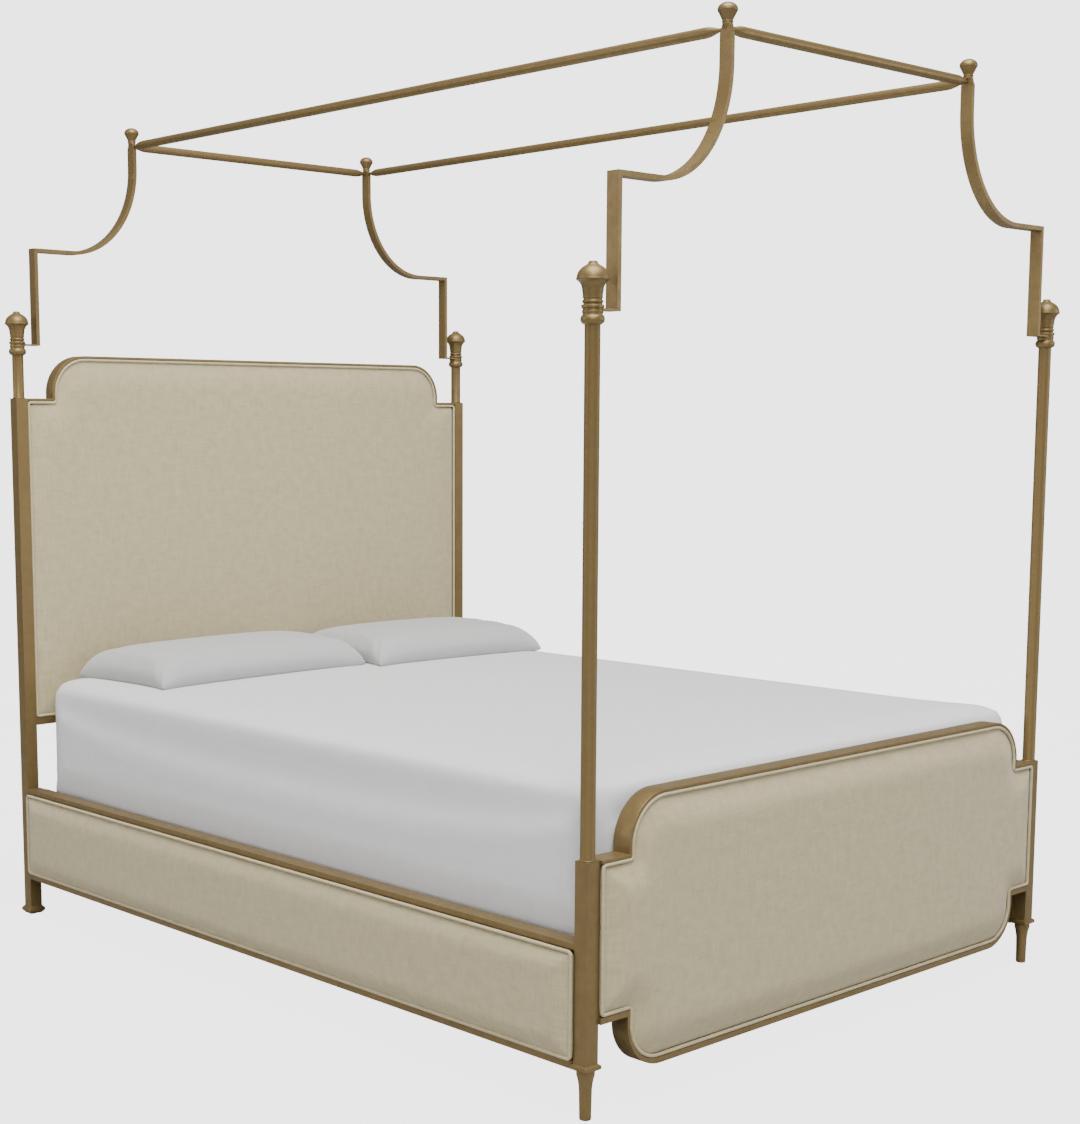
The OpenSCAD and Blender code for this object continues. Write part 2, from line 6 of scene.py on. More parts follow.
import bmesh
import bpy
import numpy as np
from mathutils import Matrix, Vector

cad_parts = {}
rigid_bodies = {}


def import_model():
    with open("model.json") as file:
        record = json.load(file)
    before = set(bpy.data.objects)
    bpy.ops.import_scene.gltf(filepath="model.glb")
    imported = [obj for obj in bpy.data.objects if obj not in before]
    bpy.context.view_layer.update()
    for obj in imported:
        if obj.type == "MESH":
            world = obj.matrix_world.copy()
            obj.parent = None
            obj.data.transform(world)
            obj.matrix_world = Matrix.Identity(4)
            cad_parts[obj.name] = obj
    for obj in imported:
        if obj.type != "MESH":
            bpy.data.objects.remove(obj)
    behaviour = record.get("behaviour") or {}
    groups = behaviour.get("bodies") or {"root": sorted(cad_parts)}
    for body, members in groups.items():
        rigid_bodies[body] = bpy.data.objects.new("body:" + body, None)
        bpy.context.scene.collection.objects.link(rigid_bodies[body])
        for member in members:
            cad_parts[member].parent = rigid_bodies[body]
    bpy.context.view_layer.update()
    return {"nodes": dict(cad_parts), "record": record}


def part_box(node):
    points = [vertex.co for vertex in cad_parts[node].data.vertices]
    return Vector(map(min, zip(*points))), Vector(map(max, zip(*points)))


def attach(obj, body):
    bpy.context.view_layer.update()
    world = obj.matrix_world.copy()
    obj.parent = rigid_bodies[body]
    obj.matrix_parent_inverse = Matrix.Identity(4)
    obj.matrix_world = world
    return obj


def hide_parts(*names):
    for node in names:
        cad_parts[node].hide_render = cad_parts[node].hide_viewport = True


for default_object in list(bpy.data.objects):
    bpy.data.objects.remove(default_object)
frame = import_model()
SCENE = bpy.context.scene

# ---------------------------------------------------------------- camera

CAMERA_PLACE = (-3.3596, -3.4738, 1.3542)
CAMERA_PITCH_DOWN = 7.2664
CAMERA_YAW_RIGHT = 42.4166
LENS_MM = 59.62
SENSOR_MM = 36.0
SHIFT_X = 0.0785
SHIFT_Y = 0.0881
FAR_CLIP = 200.0


def add_camera():
    data = bpy.data.cameras.new("camera")
    camera = bpy.data.objects.new("camera", data)
    SCENE.collection.objects.link(camera)
    camera.location = CAMERA_PLACE
    camera.rotation_euler = (math.radians(90 - CAMERA_PITCH_DOWN), 0, math.radians(-CAMERA_YAW_RIGHT))
    data.sensor_width = SENSOR_MM
    data.lens = LENS_MM
    data.shift_x = SHIFT_X
    data.shift_y = SHIFT_Y
    data.clip_end = FAR_CLIP
    SCENE.camera = camera


add_camera()

# ---------------------------------------------------------------- material helpers


def new_material(name):
    material = bpy.data.materials.new(name)
    material.use_nodes = True
    tree = material.node_tree
    return material, tree, tree.nodes["Principled BSDF"]


def node(tree, kind, inputs=None, **settings):
    made = tree.nodes.new(kind)
    for key, value in settings.items():
        setattr(made, key, value)
    for key, value in (inputs or {}).items():
        if isinstance(value, bpy.types.NodeSocket):
            tree.links.new(value, made.inputs[key])
        else:
            made.inputs[key].default_value = value
    return made


def calc(tree, operation, first, second=0.0, third=0.0):
    return node(tree, "ShaderNodeMath", {0: first, 1: second, 2: third}, operation=operation).outputs[0]


def noise(tree, vector, scale, detail=2.0, roughness=0.5):
    made = node(tree, "ShaderNodeTexNoise",
                {"Vector": vector, "Scale": scale, "Detail": detail, "Roughness": roughness})
    return made.outputs["Fac"]


def ramp(tree, factor, stops):
    made = tree.nodes.new("ShaderNodeValToRGB")
    tree.links.new(factor, made.inputs["Fac"])
    elements = made.color_ramp.elements
    while len(elements) < len(stops):
        elements.new(0.5)
    for element, (place, colour) in zip(elements, stops):
        element.position = place
        element.color = (*colour, 1)
    return made.outputs["Color"]


def add_bump(tree, shader, height, distance):
    bump = node(tree, "ShaderNodeBump", {"Height": height, "Strength": 1.0, "Distance": distance})
    tree.links.new(bump.outputs["Normal"], shader.inputs["Normal"])


def set_roughness(tree, shader, value, start, end):
    """Roughness that follows a value, from start, its place and roughness, to end."""
    made = node(tree, "ShaderNodeMapRange", {"Value": value, "From Min": start[0], "From Max": end[0],
                                             "To Min": start[1], "To Max": end[1]})
    tree.links.new(made.outputs["Result"], shader.inputs["Roughness"])


def cloth_finish(shader, sheen):
    shader.inputs["Sheen Weight"].default_value = sheen
    shader.inputs["Sheen Roughness"].default_value = CLOTH_SHEEN_ROUGHNESS
    shader.inputs["Specular IOR Level"].default_value = CLOTH_SPECULAR


def object_place(tree):
    return node(tree, "ShaderNodeTexCoord").outputs["Object"]


def scaled(tree, vector, scale):
    return node(tree, "ShaderNodeMapping", {"Vector": vector, "Scale": scale}).outputs["Vector"]


def shades(colour, factors):
    """The same colour at several brightnesses, for the stops of a ramp."""
    return [tuple(channel * factor for channel in colour) for factor in factors]


# ---------------------------------------------------------------- materials

BRASS_COLOUR = (0.186, 0.126, 0.047)
LINEN_COLOUR = (0.430, 0.368, 0.219)
PIPING_COLOUR = (0.445, 0.381, 0.228)
COTTON_COLOUR = (0.650, 0.650, 0.652)
# the mattress's cotton made darker for the pillows, though they are the same cloth: painted shade
PILLOW_PAINTED_SHADE_COLOUR = (0.415, 0.416, 0.412)
CAMBRIC_COLOUR = (0.020, 0.020, 0.022)
PLY_COLOUR = (0.42, 0.29, 0.16)
PINE_COLOUR = (0.60, 0.43, 0.24)
STEEL_COLOUR = (0.028, 0.028, 0.030)
ZINC_COLOUR = (0.52, 0.53, 0.55)
CLOTH_SHEEN_ROUGHNESS = 0.5
CLOTH_SPECULAR = 0.25
# Scales of the noise, in features per metre
METAL_MOTTLE = 34.0
METAL_DRIFT = 5.0
METAL_GRAIN = 500.0
THREAD_ACROSS = 420.0
THREAD_ALONG = 16.0          # low, so that a slub runs far along its thread
LINEN_PATCHES = 42.0
COTTON_YARNS = 650.0
COTTON_CREASES = 26.0
COTTON_CREASE_DEPTH = 0.0012
PERCALE_PITCH = 0.0011       # metres from one thread of the sheeting to the next
WOOD_GRAIN_DEPTH = 0.0004


def metal_material(name, colour, metallic, rough_low, rough_high, grain_depth):
    """Cast or drawn metal: faintly mottled, with fine grain."""
    material, tree, shader = new_material(name)
    place = object_place(tree)
    mottle = noise(tree, place, METAL_MOTTLE, 4.0, 0.6)
    drift = noise(tree, place, METAL_DRIFT, 2.0)
    both = calc(tree, "MULTIPLY_ADD", drift, 0.4, calc(tree, "MULTIPLY", mottle, 0.6))
    dark, middle, light = shades(colour, (0.93, 1.0, 1.07))
    tree.links.new(ramp(tree, both, [(0.38, dark), (0.50, middle), (0.64, light)]),
                   shader.inputs["Base Color"])
    set_roughness(tree, shader, both, (0.35, rough_high), (0.65, rough_low))
    shader.inputs["Metallic"].default_value = metallic
    add_bump(tree, shader, noise(tree, place, METAL_GRAIN, 3.0, 0.6), grain_depth)
    return material


def woven_material(name, colour, pitch, slub, depth, sheen):
    """Plain-weave cloth on upright faces, its threads along and up, with thick slubs."""
    material, tree, shader = new_material(name)
    place = object_place(tree)
    parts = node(tree, "ShaderNodeSeparateXYZ", {"Vector": place}).outputs
    along = calc(tree, "ADD", parts["X"], parts["Y"])
    flat = node(tree, "ShaderNodeCombineXYZ", {"X": along, "Y": parts["Z"]}).outputs["Vector"]
    weft = noise(tree, scaled(tree, flat, (THREAD_ALONG, THREAD_ACROSS, 1.0)), 1.0, 2.0, 0.6)
    warp = noise(tree, scaled(tree, flat, (THREAD_ACROSS, THREAD_ALONG, 1.0)), 1.0, 2.0, 0.6)
    threads = calc(tree, "MULTIPLY", calc(tree, "ADD", weft, warp), 0.5)
    patches = noise(tree, flat, LINEN_PATCHES, 4.0, 0.65)
    tone = calc(tree, "MULTIPLY_ADD", patches, 0.35, calc(tree, "MULTIPLY", threads, 0.65))
    dark, middle, light = shades(colour, (1.0 - slub, 1.0, 1.0 + slub))
    tree.links.new(ramp(tree, tone, [(0.36, dark), (0.50, middle), (0.64, light)]),
                   shader.inputs["Base Color"])
    turn = 2 * math.pi / pitch
    over = calc(tree, "SINE", calc(tree, "MULTIPLY", along, turn))
    under = calc(tree, "SINE", calc(tree, "MULTIPLY", parts["Z"], turn))
    weave = calc(tree, "MULTIPLY_ADD", calc(tree, "MULTIPLY", over, under), 0.5, threads)
    set_roughness(tree, shader, threads, (0.3, 0.80), (0.7, 0.95))
    cloth_finish(shader, sheen)
    add_bump(tree, shader, weave, depth)
    return material


def cotton_material(name, colour, sheen):
    """Fine percale sheeting: a very fine weave, soft creases and a faint sheen. Its colour is a little
    darker in the creases' hollows and lighter on their crests: painted shade and painted light.
    """
    material, tree, shader = new_material(name)
    place = object_place(tree)
    parts = node(tree, "ShaderNodeSeparateXYZ", {"Vector": place}).outputs
    turn = 2 * math.pi / PERCALE_PITCH
    waves = [calc(tree, "SINE", calc(tree, "MULTIPLY", parts[axis], turn)) for axis in "XYZ"]
    weave = calc(tree, "ADD", calc(tree, "MULTIPLY", waves[0], waves[1]),
                 calc(tree, "MULTIPLY", waves[2], calc(tree, "ADD", waves[0], waves[1])))
    yarns = noise(tree, place, COTTON_YARNS, 2.0)
    crease_relief_and_shade = noise(tree, place, COTTON_CREASES, 4.0, 0.6)
    # the creases also set the colour: painted shade in their hollows, painted light on their crests
    tone = calc(tree, "MULTIPLY_ADD", yarns, 0.45, calc(tree, "MULTIPLY", crease_relief_and_shade, 0.55))
    dark, light = shades(colour, (0.97, 1.03))
    tree.links.new(ramp(tree, tone, [(0.35, dark), (0.65, light)]), shader.inputs["Base Color"])
    set_roughness(tree, shader, yarns, (0.0, 0.78), (1.0, 0.92))
    cloth_finish(shader, sheen)
    height = calc(tree, "MULTIPLY_ADD", weave, 0.05, calc(tree, "MULTIPLY", crease_relief_and_shade, 1.2))
    add_bump(tree, shader, height, COTTON_CREASE_DEPTH)
    return material


def wood_material(name, colour, stretch):
    """Planed softwood or veneer: long grain in rings, with darker latewood lines."""
    material, tree, shader = new_material(name)
    place = scaled(tree, object_place(tree), stretch)
    warp = noise(tree, place, 2.0, 3.0)
    bands = node(tree, "ShaderNodeTexWave", {"Vector": place, "Scale": 4.0, "Distortion": 5.0,
                                             "Detail": 3.0, "Detail Scale": 1.5})
    tone = calc(tree, "MULTIPLY_ADD", bands.outputs["Fac"], 0.6, calc(tree, "MULTIPLY", warp, 0.4))
    dark, middle, light = shades(colour, (0.72, 0.95, 1.12))
    tree.links.new(ramp(tree, tone, [(0.2, light), (0.55, middle), (0.85, dark)]),
                   shader.inputs["Base Color"])
    set_roughness(tree, shader, tone, (0.0, 0.55), (1.0, 0.75))
    add_bump(tree, shader, tone, WOOD_GRAIN_DEPTH)
    return material


MATERIALS = {
    "antique_brass": metal_material("antique_brass", BRASS_COLOUR, metallic=0.60, rough_low=0.40,
                                    rough_high=0.52, grain_depth=0.00012),
    "linen": woven_material("linen", LINEN_COLOUR, pitch=0.0017, slub=0.16, depth=0.0002, sheen=0.25),
    "linen_piping": woven_material("linen_piping", PIPING_COLOUR, pitch=0.0015, slub=0.14,
                                   depth=0.0002, sheen=0.25),
    "dust_cover": woven_material("dust_cover", CAMBRIC_COLOUR, pitch=0.0022, slub=0.20,
                                 depth=0.0003, sheen=0.15),
    "plywood": wood_material("plywood", PLY_COLOUR, stretch=(2.0, 2.0, 14.0)),
    "black_steel": metal_material("black_steel", STEEL_COLOUR, metallic=0.0, rough_low=0.42,
                                  rough_high=0.55, grain_depth=0.00015),
    "zinc_steel": metal_material("zinc_steel", ZINC_COLOUR, metallic=1.0, rough_low=0.28,
                                 rough_high=0.40, grain_depth=0.00005),
    "pine": wood_material("pine", PINE_COLOUR, stretch=(1.5, 22.0, 22.0)),
    "cotton": cotton_material("cotton", COTTON_COLOUR, sheen=0.25),
    # a darker copy of the cotton for the pillows: painted shade
    "pillow_cotton_painted_shade": cotton_material("pillow_cotton_painted_shade", PILLOW_PAINTED_SHADE_COLOUR, sheen=0.25),
}

# ---------------------------------------------------------------- hard pieces from CAD

EDGE_BEVEL = {"antique_brass": 0.0009, "plywood": 0.0006, "black_steel": 0.0015,
              "zinc_steel": 0.0004, "pine": 0.0025}
BAND_BEVEL = 0.0022
WELD_DISTANCE = 0.00002
BEVEL_ANGLE = math.radians(35)


def finish_hard(name, slot):
    """The CAD shape stays: it gets its material and small rounded edges."""
    obj = frame["nodes"][name]
    obj.data.materials.clear()
    obj.data.materials.append(MATERIALS[slot])
    weld = obj.modifiers.new("weld", "WELD")
    weld.merge_threshold = WELD_DISTANCE
    bevel = obj.modifiers.new("bevel", "BEVEL")
    bevel.width = BAND_BEVEL if name.endswith("_band") else EDGE_BEVEL[slot]
    bevel.segments = 3 if name.endswith("_band") else 2
    bevel.limit_method = "ANGLE"
    bevel.angle_limit = BEVEL_ANGLE
    bevel.harden_normals = True


for entry in frame["record"]["subparts"]:
    if entry["material_slot"] in EDGE_BEVEL:
        finish_hard(entry["node"], entry["material_slot"])

# ---------------------------------------------------------------- mesh helpers


def mesh_object(name, points, faces):
    mesh = bpy.data.meshes.new(name)
    mesh.from_pydata([tuple(p) for p in points], [], [tuple(f) for f in faces])
    obj = bpy.data.objects.new(name, mesh)
    SCENE.collection.objects.link(obj)
    return obj


def evaluate(obj):
    """Applies the object's modifiers and drops them."""
    depsgraph = bpy.context.evaluated_depsgraph_get()
    mesh = bpy.data.meshes.new_from_object(obj.evaluated_get(depsgraph))
    old = obj.data
    obj.modifiers.clear()
    obj.data = mesh
    bpy.data.meshes.remove(old)
    mesh.name = obj.name


def get_points(obj):
    points = np.empty(len(obj.data.vertices) * 3)
    obj.data.vertices.foreach_get("co", points)
    return points.reshape(-1, 3)


def set_points(obj, points):
    obj.data.vertices.foreach_set("co", np.asarray(points, dtype=float).ravel())
    obj.data.update()


def remesh(obj, voxel):
    modifier = obj.modifiers.new("remesh", "REMESH")
    modifier.mode = "VOXEL"
    modifier.voxel_size = voxel
    evaluate(obj)


def subdivide(obj):
    modifier = obj.modifiers.new("subdivision", "SUBSURF")
    modifier.levels = 1
    evaluate(obj)


def shade(obj, smooth):
    obj.data.polygons.foreach_set("use_smooth", [smooth] * len(obj.data.polygons))


def finish_soft(obj, body, slot, *nodes, material=None):
    """Outward normals, smooth shading, material, body and the CAD nodes it stands for."""
    made = bmesh.new()
    made.from_mesh(obj.data)
    bmesh.ops.recalc_face_normals(made, faces=made.faces)
    made.to_mesh(obj.data)
    made.free()
    shade(obj, True)
    obj.data.materials.clear()
    obj.data.materials.append(MATERIALS[material or slot])
    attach(obj, body)
    if nodes:
        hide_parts(*nodes)


AIR_PRESSURE = 4.0
CLOTH_FRAMES = 8
CLOTH_QUALITY = 4
CLOTH_MASS = 0.3
CLOTH_STRETCH = 15
CLOTH_SHEAR = 5
CLOTH_BENDING = 0.5


def inflate(obj, cap, held=None):
    """Runs a cloth simulation under air pressure with no gravity, then keeps its result,
    with no point moved further than cap. Points in held stay where they are."""
    before = get_points(obj)
    cloth = obj.modifiers.new("cloth", "CLOTH")
    settings = cloth.settings
    settings.quality = CLOTH_QUALITY
    settings.mass = CLOTH_MASS
    settings.tension_stiffness = CLOTH_STRETCH
    settings.compression_stiffness = CLOTH_STRETCH
    settings.shear_stiffness = CLOTH_SHEAR
    settings.bending_stiffness = CLOTH_BENDING
    settings.use_pressure = True
    settings.uniform_pressure_force = AIR_PRESSURE
    settings.effector_weights.gravity = 0
    cloth.collision_settings.use_collision = False
    cloth.collision_settings.use_self_collision = False
    cloth.point_cache.frame_start = 1
    cloth.point_cache.frame_end = CLOTH_FRAMES
    if held is not None:
        group = obj.vertex_groups.new(name="held")
        group.add([int(i) for i in np.flatnonzero(held)], 1.0, "REPLACE")
        settings.vertex_group_mass = "held"
    for moment in range(1, CLOTH_FRAMES + 1):
        SCENE.frame_set(moment)
    evaluated = obj.evaluated_get(bpy.context.evaluated_depsgraph_get())
    after = np.empty(len(before) * 3)
    evaluated.data.vertices.foreach_get("co", after)
    move = after.reshape(-1, 3) - before
    length = np.linalg.norm(move, axis=1, keepdims=True)
    obj.modifiers.clear()
    obj.vertex_groups.clear()
    SCENE.frame_set(1)
    set_points(obj, before + move * np.minimum(1.0, cap / np.maximum(length, 1e-9)))


# ---------------------------------------------------------------- outlines


def rounded_outline(corners, spacing=0.008, fine=0.0015):
    """A closed outline from corners given as (u, v, radius), anticlockwise, with evenly
    spaced points along its straights and closer ones round its corners."""
    points = []
    count = len(corners)
    fillets = []
    for i in range(count):
        here = np.array(corners[i][:2])
        to_last = np.array(corners[i - 1][:2]) - here
        to_next = np.array(corners[(i + 1) % count][:2]) - here
        to_last /= np.linalg.norm(to_last)
        to_next /= np.linalg.norm(to_next)
        radius = corners[i][2]
        centre = here + (to_last + to_next) * radius
        steps = max(3, int(radius * math.pi / 2 / max(fine, radius * 0.05)))
        arc = [centre - to_next * radius * math.cos(a) - to_last * radius * math.sin(a)
               for a in np.linspace(0, math.pi / 2, steps + 1)]
        fillets.append(arc)
    for i in range(count):
        arc, following = fillets[i], fillets[(i + 1) % count][0]
        points += arc
        run = np.linalg.norm(following - arc[-1])
        steps = max(1, int(round(run / spacing)))
        points += [arc[-1] + (following - arc[-1]) * s / steps for s in range(1, steps)]
    return np.array(points)


POINTS_AT_ONCE = 4000        # keeps the distance table small


def depth_inside(points, outline):
    """Each point's distance from the outline."""
    start, end = outline, np.roll(outline, -1, axis=0)
    run = end - start
    length2 = (run ** 2).sum(axis=1)
    result = np.empty(len(points))
    for first in range(0, len(points), POINTS_AT_ONCE):
        part = points[first:first + POINTS_AT_ONCE, None, :] - start[None]
        share = np.clip((part * run[None]).sum(axis=2) / length2[None], 0, 1)
        gap = part - share[..., None] * run[None]
        result[first:first + POINTS_AT_ONCE] = np.sqrt((gap ** 2).sum(axis=2).min(axis=1))
    return result


CLEARANCE = 0.0002           # from the upholstery to the sleeves and the metal band
BAND = 0.0064
CLOTH_CORNER = 0.010
BASE_CORNER = 0.004
INNER_CORNER = 0.004
SHARPEST = 0.001             # the smallest corner radius that an inset leaves
POST_X = 0.800
SLEEVE_HALF = 0.017
HALF_WIDTH = POST_X - SLEEVE_HALF - CLEARANCE
STEP_X = 0.705
HEAD_LEDGE = 1.422
HEAD_CORNER_R = 0.103
HEAD_BAR = 0.020
FOOT_LEDGE = 0.520
FOOT_CORNER_R = 0.104
FOOT_STEP_Z = 0.193
FOOT_LOW_R = 0.099
FOOT_LOW_BAND = 0.013


def headboard_outline(inset, corner=CLOTH_CORNER):
    low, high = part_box("headboard_band")
    edge = BAND + CLEARANCE + inset
    side, step, ledge = HALF_WIDTH - inset, STEP_X - edge, HEAD_LEDGE - edge
    top, bottom = high[2] - edge, low[2] + HEAD_BAR + CLEARANCE + inset
    outer = max(corner - inset, SHARPEST)
    inner = INNER_CORNER + inset
    crown = HEAD_CORNER_R - edge
    return [(-side, bottom, outer), (side, bottom, outer), (side, ledge, outer), (step, ledge, inner),
            (step, top, crown), (-step, top, crown), (-step, ledge, inner), (-side, ledge, outer)]


def footboard_outline(inset, corner=CLOTH_CORNER):
    low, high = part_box("footboard_band")
    edge = BAND + CLEARANCE + inset
    under = FOOT_LOW_BAND + CLEARANCE + inset
    side, step, ledge = HALF_WIDTH - inset, STEP_X - edge, FOOT_LEDGE - edge
    low_z, low_r = FOOT_STEP_Z + under, FOOT_LOW_R - under
    top, bottom = high[2] - edge, low[2] + under
    outer = max(corner - inset, SHARPEST)
    inner = INNER_CORNER + inset
    crown = FOOT_CORNER_R - edge
    return [(-side, low_z, outer), (-step, low_z, inner), (-step, bottom, low_r),
            (step, bottom, low_r), (step, low_z, inner), (side, low_z, outer),
            (side, ledge, outer), (step, ledge, inner), (step, top, crown), (-step, top, crown),
            (-step, ledge, inner), (-side, ledge, outer)]


def side_rectangle(node_name, inset, radius):
    low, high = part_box(node_name)
    return [(low[1] + inset, low[2] + inset, radius), (high[1] - inset, low[2] + inset, radius),
            (high[1] - inset, high[2] - inset, radius), (low[1] + inset, high[2] - inset, radius)]


def side_outline(inset, corner=CLOTH_CORNER):
    return side_rectangle("rail_pad_right", inset, max(corner + 0.002 - inset, SHARPEST))


# ---------------------------------------------------------------- upholstered panels

PANEL_INSET = 0.001
RIM_FLAT = 0.0040            # width of the strip under the piping
RIM_DROP = 0.0012            # how far the strip lies below the middle of the piping
SLOPE_SHARE = 0.30           # how much of the padding's shoulder is an even slope
FRONT_SHARE = 0.8            # the share of a panel's depth beyond which a point is its front
HELD_EDGE = 0.010            # width of the front's edge that the sewing holds still
WELT_INSET = 0.0044
WELT_RADIUS = 0.0037
WELT_SUNK = 0.0004           # how far the piping nestles between band and padding
WELT_SIDES = 12
SWELL = 0.004                # how far air pressure may push the padding out


def panel_form(name, corners, depth, voxel):
    """A padded panel in its own (u, v, w), w being how far it stands from its board."""
    outline = rounded_outline(corners)
    count = len(outline)
    points = [(*p, 0.0) for p in outline] + [(*p, depth) for p in outline]
    walls = [(i, (i + 1) % count, count + (i + 1) % count, count + i) for i in range(count)]
    ends = [tuple(reversed(range(count))), tuple(range(count, 2 * count))]
    obj = mesh_object(name, points, ends + walls)
    remesh(obj, voxel)
    start = get_points(obj)
    away = depth_inside(start[:, :2], outline)
    inflate(obj, SWELL, held=(start[:, 2] < FRONT_SHARE * depth) | (away < HELD_EDGE))
    subdivide(obj)
    return obj, outline


def shape_panel(obj, outline, depth, rim, top, shoulder):
    """Gives the front its flat strip under the piping and its soft shoulder beyond it: an
    even slope that then eases off to level."""
    points = get_points(obj)
    away = depth_inside(points[:, :2], outline)
    share_in = np.clip((away - RIM_FLAT) / shoulder, 0, 1)
    easing = np.maximum(share_in - SLOPE_SHARE, 0) ** 2 / (2 * (1 - SLOPE_SHARE))
    rise = (share_in - easing) * 2 / (1 + SLOPE_SHARE)
    share = np.clip(points[:, 2] / depth, 0, 1)
    swell = np.maximum(points[:, 2] - depth, 0)
    points[:, 2] = share * (rim + (top - SWELL - rim) * rise) + swell * rise
    return points


def piping_points(corners, height):
    """Rings round a closed outline, in (u, v, w), and the faces that join them."""
    path = rounded_outline(corners, 0.010)
    ahead = np.roll(path, -1, axis=0) - np.roll(path, 1, axis=0)
    ahead /= np.linalg.norm(ahead, axis=1, keepdims=True)
    across = np.stack([ahead[:, 1], -ahead[:, 0]], axis=1)
    points, faces = [], []
    count = len(path)
    for i in range(count):
        uneven = 0.018 * math.sin(i * 1.7) + 0.012 * math.sin(i * 0.61 + 1.0)
        radius = WELT_RADIUS * (1 + uneven)
        for k in range(WELT_SIDES):
            angle = 2 * math.pi * k / WELT_SIDES
            reach = radius * math.cos(angle)
            points.append((*(path[i] + across[i] * reach), height + radius * math.sin(angle)))
            here, following = i * WELT_SIDES, (i + 1) % count * WELT_SIDES
            m = (k + 1) % WELT_SIDES
            faces.append((here + k, following + k, following + m, here + m))
    return np.array(points), faces


def standing(node_name, board_face, axis, outward):
    """How far a node's front stands from its board's face."""
    low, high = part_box(node_name)
    return abs((high[axis] if outward > 0 else low[axis]) - board_face)


def upholster(prefix, cad_ending, outline_of, board_face, axis, outward, proud, shoulder, voxel,
              corner, places):
    """One padded panel with its piping, placed wherever it occurs. The padding stands proud
    of its CAD solid by that much, and shoulder is the width over which it rises. places gives,
    for each, the ending of the CAD nodes' names and the function from (u, v, w) to the room."""
    welt_front = standing(f"{prefix}_welt{cad_ending}", board_face, axis, outward)
    welt_w = welt_front - WELT_RADIUS - WELT_SUNK
    top = standing(f"{prefix}_pad{cad_ending}", board_face, axis, outward) + proud
    depth = top - SWELL
    form, outline = panel_form(f"{prefix}_form", outline_of(PANEL_INSET, corner), depth, voxel)
    shaped = shape_panel(form, outline, depth, welt_w - RIM_DROP, top, shoulder)
    ring, ring_faces = piping_points(outline_of(WELT_INSET), welt_w)
    faces = [tuple(p.vertices) for p in form.data.polygons]
    bpy.data.objects.remove(form)
    for ending, put in places:
        pad = mesh_object(f"{prefix}_cushion{ending}", put(shaped, board_face), faces)
        finish_soft(pad, "frame", "linen", f"{prefix}_pad{ending}")
        cord = mesh_object(f"{prefix}_piping{ending}", put(ring, board_face), ring_faces)
        finish_soft(cord, "frame", "linen_piping", f"{prefix}_welt{ending}")


def facing_foot(points, face):
    return np.stack([points[:, 0], face - points[:, 2], points[:, 1]], axis=1)


def facing_right(points, face):
    return np.stack([face + points[:, 2], points[:, 0], points[:, 1]], axis=1)


def facing_left(points, face):
    return np.stack([-face - points[:, 2], points[:, 0], points[:, 1]], axis=1)


upholster("headboard", "", headboard_outline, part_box("headboard_board")[0][1], axis=1, outward=-1,
          proud=0.0, shoulder=0.085, voxel=0.0135, corner=BASE_CORNER, places=[("", facing_foot)])
upholster("footboard", "", footboard_outline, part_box("footboard_board")[0][1], axis=1, outward=-1,
          proud=0.006, shoulder=0.078, voxel=0.0125, corner=BASE_CORNER, places=[("", facing_foot)])
upholster("rail", "_right", side_outline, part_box("rail_board_right")[1][0], axis=0, outward=1,
          proud=0.002, shoulder=0.042, voxel=0.0110, corner=CLOTH_CORNER,
          places=[("_right", facing_right), ("_left", facing_left)])

# ---------------------------------------------------------------- dust covers

HEM_WIDTH = 0.016
HEM_RAISED = 0.0006
HEM_LEAN = 0.004             # how far the hem's inner edge slopes, as a share of the way in
CLOTH_THICK = 0.0006
COVER_SPACING = 0.02         # between the points of a dust cover's outline
STAPLE = (0.0110, 0.0011, 0.0008)
STAPLE_PITCH = 0.060
STAPLE_INSET = 0.008
STAPLE_SUNK = 0.0001
STAPLE_LEAN = 0.12           # how far a staple may be turned, in radians
STAPLE_PATH_SPACING = 0.01


def cover_sheet(name, outline, hem_outline, faces_at, put):
    """A stretched cloth with a turned-under hem: a closed, thin form in (u, v, w)."""
    count = len(outline)
    hem_top = CLOTH_THICK + HEM_RAISED
    inner = hem_outline + (hem_outline.mean(axis=0) - hem_outline) * HEM_LEAN
    loops = [(outline, 0.0), (outline, hem_top), (hem_outline, hem_top), (inner, CLOTH_THICK)]
    points = np.concatenate([np.column_stack([loop, np.full(count, w)]) for loop, w in loops])
    faces = [tuple(reversed(range(count))), tuple(range(3 * count, 4 * count))]
    for level in range(3):
        base = level * count
        faces += [(base + i, base + (i + 1) % count, base + count + (i + 1) % count, base + count + i)
                  for i in range(count)]
    return mesh_object(name, put(points, faces_at), faces)


